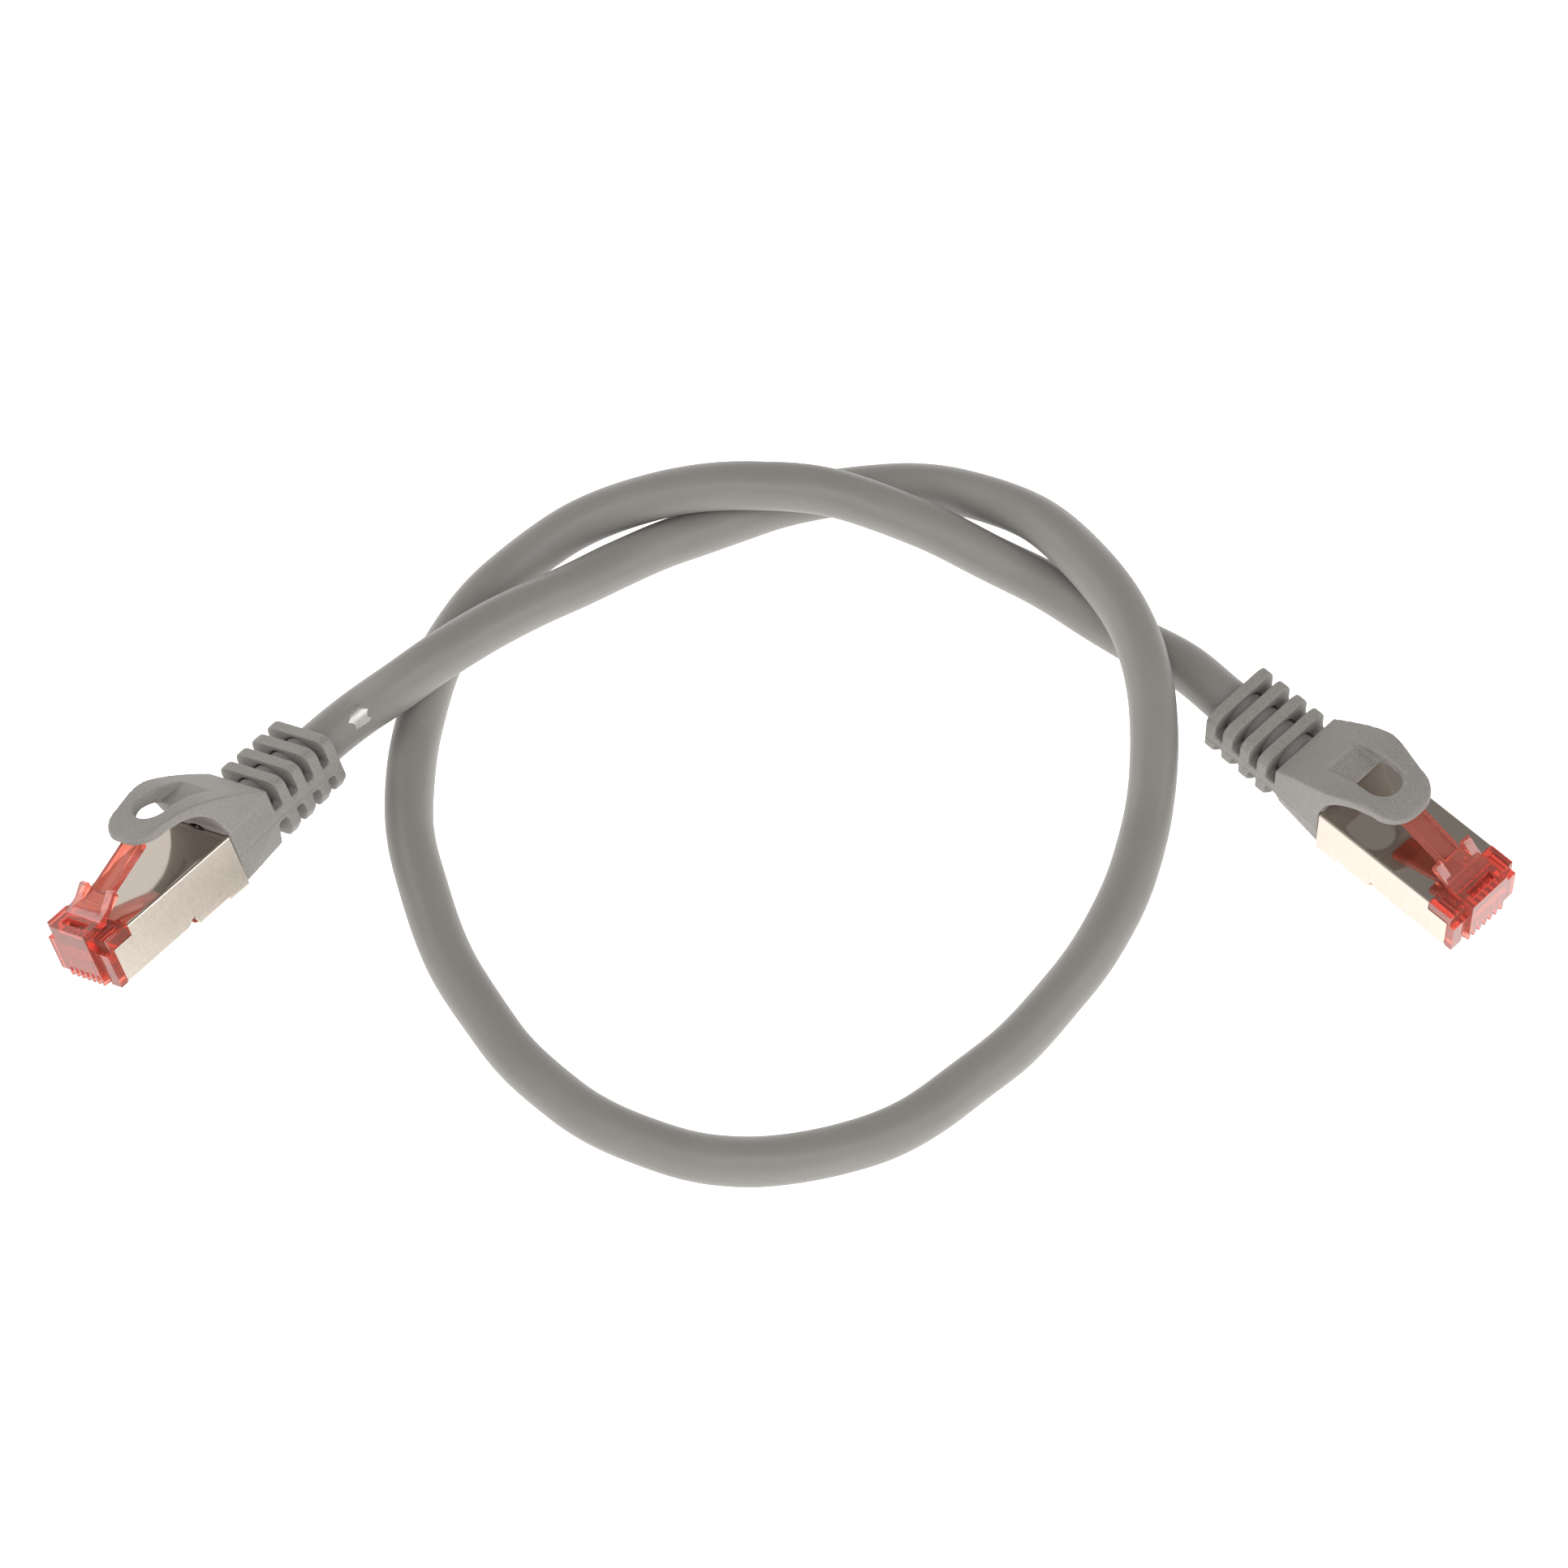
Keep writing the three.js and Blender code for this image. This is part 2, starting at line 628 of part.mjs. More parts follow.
function cord(plugs) {
  const path = cordPath(plugs);
  const radius = CORD_DIAMETER / 2;
  const jacket = layer(path, plugs, radius, radius - JACKET_WALL, JACKET_END);
  const braid = layer(path, plugs, BRAID_OUTER / 2, BRAID_OUTER / 2 - BRAID_WALL, BRAID_END);
  const pairs = PAIR_NAMES.map((colour, i) => {
    const angle = (i / PAIR_NAMES.length) * 2 * Math.PI;
    const middle = [PAIR_CIRCLE * Math.cos(angle), PAIR_CIRCLE * Math.sin(angle)];
    const shape = along(path, outline(ring(PAIR_DIAMETER / 2, PAIR_SIDES, middle)), CORD_STEPS);
    return piece(`${colour}_pair`, trim(shape, plugs, PAIR_END - 0.1), MATERIALS.foil);
  });
  return [
    piece("jacket", jacket, MATERIALS.jacket),
    piece("braid", braid, MATERIALS.tinnedCopper),
    ...pairs,
  ];
}

const group = new THREE.Group();
const plugs = PLUGS.map(plug);
group.add(...plugs, ...cord(plugs));

export default group;
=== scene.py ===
# %% [markdown]
# # A shielded patch cable
# This lesson builds the looks of a short ethernet patch cable: two clear red plugs in folded metal
# shields, each with a soft grey boot, joined by a grey cord that lies in a loose overhand knot.
# The imported model is loaded first. It gives every rigid piece its place, in metres. The jacket
# and the shields made here ride on its cable body.

# %% Load the imported model
import math

import bmesh
import bpy
import numpy as np
from mathutils import Euler, Matrix, Vector, noise


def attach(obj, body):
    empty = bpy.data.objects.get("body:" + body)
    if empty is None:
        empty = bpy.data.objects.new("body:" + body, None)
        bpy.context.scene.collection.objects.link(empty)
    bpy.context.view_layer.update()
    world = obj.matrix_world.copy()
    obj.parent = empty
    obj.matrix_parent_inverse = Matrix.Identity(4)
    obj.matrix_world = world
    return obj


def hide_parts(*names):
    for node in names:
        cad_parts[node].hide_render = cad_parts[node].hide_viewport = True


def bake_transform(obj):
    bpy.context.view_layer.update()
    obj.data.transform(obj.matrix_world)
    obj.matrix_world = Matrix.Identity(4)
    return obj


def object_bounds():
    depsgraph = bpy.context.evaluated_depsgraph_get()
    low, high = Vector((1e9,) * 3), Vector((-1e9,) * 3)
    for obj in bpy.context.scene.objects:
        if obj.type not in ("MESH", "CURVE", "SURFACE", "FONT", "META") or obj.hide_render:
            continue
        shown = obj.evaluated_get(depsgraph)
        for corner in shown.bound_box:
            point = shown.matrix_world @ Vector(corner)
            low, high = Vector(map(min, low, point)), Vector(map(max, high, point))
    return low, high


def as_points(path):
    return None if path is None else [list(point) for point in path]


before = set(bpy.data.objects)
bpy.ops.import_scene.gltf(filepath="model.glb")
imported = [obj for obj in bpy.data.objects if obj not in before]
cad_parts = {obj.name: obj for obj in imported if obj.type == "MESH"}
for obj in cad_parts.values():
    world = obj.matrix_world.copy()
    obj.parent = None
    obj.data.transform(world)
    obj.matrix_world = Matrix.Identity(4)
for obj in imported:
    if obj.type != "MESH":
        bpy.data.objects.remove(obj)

cad_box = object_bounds()
scene = bpy.context.scene
print("CAD box", [[round(v, 4) for v in corner] for corner in cad_box])

# %% [markdown]
# ## The camera
# A long lens held high in front keeps the far plug as large as the near one. An empty target on
# the table would do as well, but the distance and the angles say the same thing in one line.

# %% Camera
MM = 0.001
TARGET = Vector((-0.0001, 0.0113, 0))
ELEVATION = math.radians(58)
DISTANCE = 0.8735

camera = bpy.data.objects.new("Camera", bpy.data.cameras.new("Camera"))
camera.data.lens = 160
camera.data.sensor_width = 36
back = Vector((0, -math.cos(ELEVATION), math.sin(ELEVATION)))
camera.location = TARGET + back * DISTANCE
camera.rotation_euler = back.to_track_quat("Z", "Y").to_euler()
scene.collection.objects.link(camera)
scene.camera = camera
print("camera at", [round(v, 3) for v in camera.location])

# %% [markdown]
# ## Where the plugs lie
# Both plugs are the same, so each of their pieces is drawn once, in millimetres, in the plug's own
# frame: x out of the nose, y to its left, z up through the latch. A matrix then lays it on the
# table. The left plug lies on its side with its nose a little up, and the right one is flat.

# %% Plug frames
PLUGS = {
    "left": ((-85, -21, 6.45), (28.3, -5.6, -130.2)),
    "right": ((86.6, -9.8, 1), (0, 0, -44.3)),
}


def plug_frame(side):
    place, turns = PLUGS[side]
    turn = Euler([math.radians(a) for a in turns], "XYZ").to_matrix().to_4x4()
    return Matrix.Translation(Vector(place) * MM) @ turn @ Matrix.Scale(MM, 4)


PLACES = {side: plug_frame(side) for side in PLUGS}
for side, place in PLACES.items():
    print(side, "nose at", [round(v, 4) for v in place @ Vector((0, 0, 0))])

# %% [markdown]
# ## The cord
# A patch cord is a soft vinyl jacket over four twisted pairs. It can't be a plain swept circle:
# the pairs inside press through as long, low lumps, and each bend that it had in its bag leaves a
# slight flat. So the tube is made ring by ring round a smooth curve, and each ring's radius takes
# a little of a slow noise and of a four-sided twist. The route's points are the model's own.

# %% The cord's route
CORD_HEIGHT = 3.8
CORD_RADIUS = 3.05
CORD_DEPTHS = (-23.6, -30, -36, -42, -44)
JACKET_END = -30.4
ROUTE = """-53.7 17.7 6.2, -48.3 20.4 8.8, -42.4 24.2 10.2, -32.1 32.2 8.9, -20.9 40.6 5.6, -7.1 48.9 3.2,
5.9 53.2 3.05, 16.9 53.5 4.3, 28.4 48.3 7.6, 37.4 39.5 9.5, 43.9 27.1 9.6, 46.1 15.1 6.6,
44.9 4.3 3.5, 41.8 -6.5 3.05, 35.9 -18.2 3.05, 26.9 -29.5 3.05, 15.4 -38.9 3.05, 1.4 -44 3.05,
-12.5 -43.4 3.05, -26.1 -36.5 3.05, -36.4 -24.7 3.05, -43 -11.2 3.05, -46.3 3 3.05,
-46 16.8 3.05, -42.6 30.1 3.05, -34.1 41.3 4.1, -22.6 47.9 7, -9.1 50.1 9.5, 4.9 49.2 9.5,
16.9 46 7.5, 30.4 40.2 4.2, 42.9 32.2 3.05, 50.3 25.9 4.4"""
route = [Vector(float(v) * MM for v in p.split()) for p in ROUTE.split(",")]


def in_plug(side, x):
    return PLACES[side] @ Vector((x, 0, CORD_HEIGHT))


knots = [
    *(in_plug("left", x) for x in CORD_DEPTHS),
    *route,
    *(in_plug("right", x) for x in reversed(CORD_DEPTHS)),
]


def smooth_line(points, per_span=24):
    """A curve through the points, with its speed set by the square root of each span."""
    first, last = 2 * points[0] - points[1], 2 * points[-1] - points[-2]
    points = [first, *points, last]
    line = []
    for a, b, c, d in zip(points, points[1:], points[2:], points[3:]):
        before, now, after = (math.sqrt((q - p).length) for p, q in ((a, b), (b, c), (c, d)))
        into = (b - a) / before - (c - a) / (before + now) + (c - b) / now
        out = (c - b) / now - (d - b) / (now + after) + (d - c) / after
        for i in range(per_span):
            t = i / per_span
            line.append(
                (2 * t**3 - 3 * t**2 + 1) * b
                + (t**3 - 2 * t**2 + t) * now * into
                + (3 * t**2 - 2 * t**3) * c
                + (t**3 - t**2) * now * out
            )
    return np.array([*line, points[-2]])


def evenly(line, step):
    """The line again, with its points a step apart."""
    spans = np.linalg.norm(np.diff(line, axis=0), axis=1)
    along = np.concatenate([[0], np.cumsum(spans)])
    at = np.linspace(0, along[-1], round(along[-1] / step) + 1)
    return np.stack([np.interp(at, along, line[:, k]) for k in range(3)], axis=1)


def beyond(side, line):
    """Which points lie outside that plug's own end of the jacket."""
    nose = PLACES[side] @ Vector((0, 0, CORD_HEIGHT))
    out = (in_plug(side, 1) - nose).normalized()
    depth = (line - np.array(nose)) @ np.array(out)
    near = np.linalg.norm(line - np.array(in_plug(side, JACKET_END)), axis=1) < 0.02
    return ~(near & (depth > JACKET_END * MM))


STEP = 0.8 * MM
cord_line = evenly(smooth_line(knots), STEP)
cord_line = cord_line[beyond("left", cord_line) & beyond("right", cord_line)]
cord_length = float(np.linalg.norm(np.diff(cord_line, axis=0), axis=1).sum())
print("cord", round(cord_length, 4), "m in", len(cord_line), "rings")

# %% The jacket's tube
CORD_SIDES = 40
LUMP = 0.13 * MM
TWIST = 0.035 * MM
LAY = 62 * MM
SWAY = 0.55 * MM


def mesh_piece(name, points, faces):
    mesh = bpy.data.meshes.new(name)
    mesh.from_pydata([tuple(p) for p in points], [], faces)
    mesh.update()
    piece = bpy.data.objects.new(name, mesh)
    scene.collection.objects.link(piece)
    return piece


def shade_smooth(piece):
    piece.data.polygons.foreach_set("use_smooth", [True] * len(piece.data.polygons))


def tube(name, line, radius_at, sides):
    """A closed tube round a line; radius_at gives the radius at a place and an angle."""
    heading = np.gradient(line, axis=0)
    heading /= np.linalg.norm(heading, axis=1)[:, None]
    across = np.cross(heading[0], (0, 0, 1))
    points = []
    for i, (middle, ahead) in enumerate(zip(line, heading)):
        across = across - ahead * (across @ ahead)
        across /= np.linalg.norm(across)
        upward = np.cross(across, ahead)
        for k in range(sides):
            turn = 2 * math.pi * k / sides
            arm = across * math.cos(turn) + upward * math.sin(turn)
            points.append(middle + arm * radius_at(i, turn, middle, arm))
    rings = len(line)
    faces = [
        (a * sides + k, a * sides + n, (a + 1) * sides + n, (a + 1) * sides + k)
        for a in range(rings - 1)
        for k, n in ((k, (k + 1) % sides) for k in range(sides))
    ]
    faces.append(tuple(range(sides)))
    faces.append(tuple(range((rings - 1) * sides, rings * sides)))
    piece = mesh_piece(name, points, faces)
    turn_outward(piece)
    shade_smooth(piece)
    return piece


def turn_outward(piece):
    mesh = bmesh.new()
    mesh.from_mesh(piece.data)
    bmesh.ops.recalc_face_normals(mesh, faces=mesh.faces)
    mesh.to_mesh(piece.data)
    mesh.free()


def ease(i):
    """0 inside the boots, rising to 1 along the free cord."""
    depth = min(i, len(cord_line) - 1 - i) * STEP
    return min(max((depth - 13 * MM) / (12 * MM), 0), 1)


def sway(line):
    """The line with the slight side to side of a cord that has been coiled."""
    heading = np.gradient(line, axis=0)
    side = np.stack([-heading[:, 1], heading[:, 0], 0 * heading[:, 0]], axis=1)
    side /= np.linalg.norm(side, axis=1)[:, None]
    amount = [ease(i) * noise.noise((i * STEP / (12 * MM), 3.7, 0)) for i in range(len(line))]
    return line + side * (np.array(amount) * SWAY)[:, None]


def jacket_radius(i, turn, middle, arm):
    along = i * STEP
    lump = noise.noise((along / (9 * MM), 1.4 * math.cos(turn), 1.4 * math.sin(turn)))
    dent = noise.noise((along / (23 * MM), 5 + math.cos(turn), math.sin(turn)))
    twist = math.cos(4 * turn + 2 * math.pi * along / LAY)
    return CORD_RADIUS * MM + ease(i) * (LUMP * (0.7 * lump + dent) + TWIST * twist)


jacket_line = sway(cord_line)
jacket = tube("cord_jacket", jacket_line, jacket_radius, CORD_SIDES)
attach(jacket, "cable")
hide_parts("jacket")
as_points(jacket_line[::4].tolist() + [jacket_line[-1].tolist()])
print("jacket", len(jacket.data.polygons), "faces")

# %% [markdown]
# ## Drawing solids
# The moulded pieces are drawn the way their moulds are cut: outlines are extruded along one of the
# plug's axes, then joined and cut. The Boolean modifier does that, and taking its result at once
# keeps each step's mesh plain. Corners that a mould rounds are rounded in the outline.


# %% Outlines and extrusions
def rounded(outline, radius, steps=5):
    """The outline with each corner turned into an arc; radius is one number or one a corner."""
    count = len(outline)
    radii = [radius] * count if isinstance(radius, (int, float)) else radius
    points = []
    for i, corner in enumerate(Vector(p) for p in outline):
        to_last = Vector(outline[i - 1]) - corner
        to_next = Vector(outline[(i + 1) % count]) - corner
        half = to_last.angle(to_next) / 2
        reach = min(radii[i] / math.tan(half), 0.48 * to_last.length, 0.48 * to_next.length)
        start = corner + to_last.normalized() * reach
        end = corner + to_next.normalized() * reach
        for k in range(steps + 1):
            t = k / steps
            points.append((1 - t) ** 2 * start + 2 * t * (1 - t) * corner + t * t * end)
    return [tuple(p) for p in points]


def flowing(points, steps=6):
    """A smooth open curve through points in the plane."""
    line = smooth_line([Vector((a, b, 0)) for a, b in points], steps)
    return [(p[0], p[1]) for p in line]


AXES = {
    "x": lambda a, b, s: (s, a, b),
    "y": lambda a, b, s: (a, s, b),
    "z": lambda a, b, s: (a, b, s),
}


def extruded(outline, axis, span, name="solid"):
    count = len(outline)
    points = [AXES[axis](a, b, s) for s in span for a, b in outline]
    faces = [tuple(range(count)), tuple(range(count, 2 * count))]
    faces += [(i, (i + 1) % count, count + (i + 1) % count, count + i) for i in range(count)]
    piece = mesh_piece(name, points, faces)
    turn_outward(piece)
    return piece


def block(x, y, z):
    return extruded([(x[0], y[0]), (x[1], y[0]), (x[1], y[1]), (x[0], y[1])], "z", z)


def round_bar(radius, x, height, sides=40):
    turns = [2 * math.pi * k / sides for k in range(sides)]
    return extruded([(radius * math.cos(a), height + radius * math.sin(a)) for a in turns], "x", x)


def hull(points):
    mesh = bmesh.new()
    for p in points:
        mesh.verts.new(p)
    bmesh.ops.convex_hull(mesh, input=mesh.verts)
    bmesh.ops.recalc_face_normals(mesh, faces=mesh.faces)
    piece = mesh_piece("hull", [], [])
    mesh.to_mesh(piece.data)
    mesh.free()
    return piece


# %% Joining, cutting and taking a modifier's result
def take(piece):
    """Puts the result of the piece's modifiers in place of its mesh."""
    seen = piece.evaluated_get(bpy.context.evaluated_depsgraph_get())
    mesh = bpy.data.meshes.new_from_object(seen)
    piece.modifiers.clear()
    piece.data = mesh
    return piece


def modify(piece, kind, **settings):
    step = piece.modifiers.new(kind.title(), kind)
    for name, value in settings.items():
        setattr(step, name, value)
    return piece


def combine(piece, tools, operation):
    for tool in tools:
        modify(piece, "BOOLEAN", operation=operation, solver="EXACT", object=tool)
        take(piece)
        bpy.data.objects.remove(tool)
    return piece


def on_plug(piece, side, name):
    """A copy of a piece drawn in the plug's own frame, laid where that plug lies."""
    copy = bpy.data.objects.new(name, piece.data.copy())
    copy.data.transform(PLACES[side])
    scene.collection.objects.link(copy)
    return copy


# %% [markdown]
# ## The boot
# The boot is one moulding in soft vinyl: a body that grips the shield, four ribs that let the cord
# bend, two rails that join them, and the latch guard that arches over the lever. Vinyl leaves the
# mould with every edge rounded, which a bevel can't do where so many curved edges meet. So the
# shapes are joined, remeshed finely and smoothed, and the guard, whose lip is rounder, gets more.

# %% The boot's shapes
HALF = 5.85
BOOT_FRONT = -23.1
BODY_REAR = -30.7
BODY_HALF = 5.45
RIB_START = -32.2
RIB_PITCH = 2.85
RIB_THICKNESS = 1.55
RIB_TOP = 7.7
BORE = 3.25
PARTING_HEIGHT = 3.2
GUARD_HALF = 6.2

GUARD_TOP = [(-30.7, 7.7), (-28, 9.6), (-25.2, 11.3), (-22.2, 12.8), (-19, 13.55), (-15, 13.5)]
GUARD_TOP += [(-12.6, 13.05)]
GUARD_UNDER = [(-12.4, 12.1), (-15.5, 12.15), (-18.5, 12.15), (-20.6, 11.4), (-21.9, 10)]
GUARD_UNDER += [(-22.7, 8), (-23.1, 6.9)]
guard_side = [*flowing(GUARD_TOP), (-11.85, 12.6), *flowing(GUARD_UNDER), (BODY_REAR, 6.9)]

GUARD_EDGE = [(-30.7, 5.45), (-27.4, 5.82), (-24, 6.2), (-21.5, 6.1), (-18.5, 5.2), (-15.7, 4.4)]
tip = [
    (-15.7 + 3.8 * math.sin(a), 4.4 * math.cos(a))
    for a in (math.pi * k / 24 for k in range(1, 24))
]
edge = flowing(GUARD_EDGE)
guard_plan = [*edge, *tip, *((x, -y) for x, y in reversed(edge))]

window = [(-21, -2.6), (-18.4, -2.6)]
window += [
    (-18.4 + 2.6 * math.sin(a), -2.6 * math.cos(a))
    for a in (math.pi * k / 16 for k in range(1, 17))
]
window += [(-21, 2.6)]


def guard_shape():
    shape = extruded(guard_side, "y", (-GUARD_HALF - 0.1, GUARD_HALF + 0.1))
    combine(shape, [extruded(guard_plan, "z", (5, 15))], "INTERSECT")
    ramp = hull(
        [(x, y, z) for y in (-2.7, 2.7) for x, z in ((-25.2, 11.25), (-25.2, 15), (-20.9, 15), (-20.9, 11.4))]
    )
    return combine(shape, [extruded(window, "z", (6.8, 15)), ramp], "DIFFERENCE")


def rib_shape(i):
    bottom = -0.9 + 0.2 * i
    outline = [(-3.9, bottom), (3.9, bottom), (5.45, bottom + 1.7), (5.45, RIB_TOP)]
    outline += [(-5.45, RIB_TOP), (-5.45, bottom + 1.7)]
    corners = rounded(outline, [0.7, 0.7, 0.9, 1.4, 1.4, 0.9])
    front = RIB_START - i * RIB_PITCH
    return extruded(corners, "x", (front - RIB_THICKNESS, front))


def body_shape():
    front = [(HALF, 7.5), (HALF - 0.05, 3.2), (5.1, -1)]
    rear = [(BODY_HALF, RIB_TOP), (BODY_HALF, 3.2), (4.1, -0.8)]
    ends = ((BOOT_FRONT, front), (BODY_REAR, rear))
    return hull([(x, s * y, z) for x, end in ends for y, z in end for s in (-1, 1)])


def shield_lip():
    """The boot's thin front edge, which lies over the rear of the shield's top."""
    edge = [(BOOT_FRONT - 0.4, 6.66), (-22.72, 6.66), (-22.78, 7.2), (BOOT_FRONT - 0.4, 7.5)]
    return extruded(edge, "y", (-5.3, 5.3))


def press_parting_line(piece, depth=0.16, width=0.16):
    """A fine groove round the boot's sides, where the two halves of its mould met."""
    vertices = piece.data.vertices
    points, normals = (np.empty(len(vertices) * 3, np.float32) for _ in range(2))
    vertices.foreach_get("co", points)
    vertices.foreach_get("normal", normals)
    x, y, z = points.reshape(-1, 3).T
    outer = (np.abs(normals[1::3]) > 0.6) & (np.abs(y) > 4.6)
    near = np.exp(-(((z - PARTING_HEIGHT) / width) ** 2))
    y -= np.sign(y) * outer * depth * near
    vertices.foreach_set("co", points)


# %% The boot's mesh
VOXEL = 0.15
boot_rear = RIB_START - 3 * RIB_PITCH - RIB_THICKNESS
rail_x = (boot_rear + 0.5, BODY_REAR + 0.3)
boot = combine(
    body_shape(),
    [
        guard_shape(),
        shield_lip(),
        *(rib_shape(i) for i in range(4)),
        block(rail_x, (3.5, 5.36), (2.6, 4.4)),
        block(rail_x, (-5.36, -3.5), (2.6, 4.4)),
    ],
    "UNION",
)
combine(boot, [round_bar(BORE, (-60, -20), CORD_HEIGHT)], "DIFFERENCE")
modify(boot, "REMESH", mode="VOXEL", voxel_size=VOXEL, use_smooth_shade=True)
take(boot)
press_parting_line(boot)
lip = boot.vertex_groups.new(name="lip")
lip.add([v.index for v in boot.data.vertices if v.co.x > -25 and v.co.z > 8.2], 1, "REPLACE")
modify(boot, "SMOOTH", factor=0.5, iterations=5)
modify(boot, "SMOOTH", factor=0.5, iterations=9, vertex_group="lip")
take(boot)
shade_smooth(boot)
print("boot", len(boot.data.polygons), "faces")

# %% The two boots
boots = []
for side, place in PLACES.items():
    piece = on_plug(boot, side, side + "_boot_skin")
    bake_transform(piece)
    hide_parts(side + "_boot", side + "_latch_guard")
    boots.append(piece)
bpy.data.objects.remove(boot)

# %% [markdown]
# ## The latch
# The latch is part of the red moulding. A ramp rises from the nose to two ears, which catch in the
# jack, and a lever runs on from it with a raised rim along each side. It bends at its root. Its
# edges are rounded with a bevel, which is right for a polished mould with flat faces.

# %% The latch's shape
RAMP = [(-2.97, 6.78), (-2.97, 7.68), (-4.9, 8.5), (-6.4, 9.75), (-6.9, 9.6), (-6.9, 8.7)]
RAMP += [(-4.4, 7.45), (-3.75, 6.78)]
LEVER = [(-5, 8.45), (-6.5, 8.95), (-14.2, 11.55), (-14.2, 10.55), (-6.5, 7.95), (-4.7, 7.68)]
LEVER_FLOOR = [(-6.6, 8.42), (-13.7, 10.85), (-13.7, 12.4), (-6.6, 10.4)]
EAR_STEP = [(-4.7, 8.42), (-4.7, 11), (-8, 11), (-8, 8.42)]


def latch_shape():
    shape = extruded(RAMP, "y", (-3.2, 3.2), "latch")
    combine(shape, [extruded(EAR_STEP, "y", (-1.95, 1.95))], "DIFFERENCE")
    combine(shape, [extruded(LEVER, "y", (-1.7, 1.7))], "UNION")
    return combine(shape, [extruded(LEVER_FLOOR, "y", (-1.2, 1.2))], "DIFFERENCE")


def crisp(piece, radius, segments=3, angle=28):
    """Merges flat faces, then rounds the edges between them to a radius in millimetres."""
    modify(piece, "WELD", merge_threshold=0.002 * MM)
    modify(piece, "DECIMATE", decimate_type="DISSOLVE", angle_limit=math.radians(1))
    modify(
        piece,
        "BEVEL",
        width=radius * MM,
        segments=segments,
        limit_method="ANGLE",
        angle_limit=math.radians(angle),
        use_clamp_overlap=True,
        harden_normals=False,
    )
    modify(piece, "TRIANGULATE")
    modify(piece, "WEIGHTED_NORMAL", keep_sharp=False, weight=80)
    shade_smooth(piece)
    return piece


latch = latch_shape()
latches = []
for side, place in PLACES.items():
    piece = crisp(on_plug(latch, side, side + "_latch_spring"), 0.1)
    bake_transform(piece)
    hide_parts(side + "_latch")
    latches.append(piece)
bpy.data.objects.remove(latch)
print("latch", len(latches[0].data.polygons), "faces")

# %% [markdown]
# ## The shield
# The shield is nickel-plated sheet, 0.3 mm thick, folded round the housing. What shows that it is
# sheet is the radius along each fold, which draws a bright line beside a dark one, and the cut
# edges, which stay nearly sharp. So the folds are rounded in the outline of each sleeve, and the
# cuts get only a hair of a bevel. Its underside drops in two steps behind the jack's mouth.

# %% The shield's shape
PLUG_TOP = 6.6
WALL = 0.3
FOLD = 0.4
SHIELD_FRONT = -1.75
SHIELD_REAR = -22.9
SLEEVES = ((SHIELD_FRONT, 0), (-14.2, -0.6), (-19.6, -1))
BRAID = 2.53


def sleeve(front, bottom, inset=0):
    half, low, high = HALF - inset, bottom + inset, PLUG_TOP - inset
    square = [(-half, low), (half, low), (half, high), (-half, high)]
    folds = [0.3, 0.3, FOLD - inset, FOLD - inset]
    return extruded(rounded(square, folds), "x", (SHIELD_REAR + inset, front))


def hollows():
    for front, bottom in SLEEVES:
        open_front = 1 if front == SHIELD_FRONT else front - WALL
        yield sleeve(open_front, bottom, WALL)
    inner = (-HALF + WALL, HALF - WALL)
    yield block((-4.85, 1), (-6, 6), (5.05, 7))
    yield block((-9, 1), inner, (-1, 1))
    yield block((-15.2, -13.8), inner, (-0.3, 0.1))
    notch = [(-14.1, -1), (-12.2, -1), (-12.6, 0.2), (-13.2, 0.45), (-13.4, 0.8), (-14.1, 0.8)]
    yield extruded(notch, "y", (-7, 7), "notch")
    yield round_bar(BRAID, (-31, -22.4), CORD_HEIGHT)


def shield_shape():
    front, *rest = (sleeve(*s) for s in SLEEVES)
    tail = round_bar(BRAID + WALL, (-29.4, SHIELD_REAR + 0.1), CORD_HEIGHT)
    combine(front, [*rest, tail], "UNION")
    return combine(front, list(hollows()), "DIFFERENCE")


shield = shield_shape()
shields = {}
for side in PLUGS:
    piece = crisp(on_plug(shield, side, side + "_folded_shield"), 0.05, 2)
    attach(piece, "cable")
    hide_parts(side + "_shield")
    shields[side] = piece
bpy.data.objects.remove(shield)
print("shield", len(shields["left"].data.polygons), "faces")

# %% [markdown]
# ## Edges on the rigid pieces
# The housing, load bar and blades have the right shape in the model, so they stay. All that they
# lack is the small radius that tools and moulds leave, which is what catches the light. Modifiers
# add it without touching the model's own vertices.

# %% Bevels
EDGES = {"housing": 0.09, "load_bar": 0.08}
for name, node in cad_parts.items():
    kind = name.split("_", 1)[-1].rstrip("_12345678")
    if kind in EDGES:
        crisp(node, EDGES[kind])
    elif kind == "contact":
        crisp(node, 0.03, 2)
    elif kind == "wire" or name.endswith("_pair") or name == "braid":
        modify(node, "WELD", merge_threshold=0.001 * MM)
        shade_smooth(node)
print(len(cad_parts), "nodes given their edges")

# %% [markdown]
# ## Writing a material as a sum
# A material is a tree of nodes, and its maths reads best as Python. A `Flow` wraps one socket, and
# adding or multiplying flows adds the Math node that does it. Every other node comes from
# `Nodes.node`, which takes the node's type, its settings, and what its sockets hold.


# %% Flow and Paint
class Flow:
    """One output socket. Sums on it add Math nodes."""

    def __init__(self, nodes, socket):
        self.nodes = nodes
        self.socket = socket

    def math(self, operation, first, second):
        return self.nodes.node("ShaderNodeMath", {"operation": operation}, {0: first, 1: second})

    def __add__(self, other):
        return self.math("ADD", self, other)

    __radd__ = __add__

    def __sub__(self, other):
        return self.math("SUBTRACT", self, other)

    def __rsub__(self, other):
        return self.math("SUBTRACT", other, self)

    def __mul__(self, other):
        return self.math("MULTIPLY", self, other)

    __rmul__ = __mul__


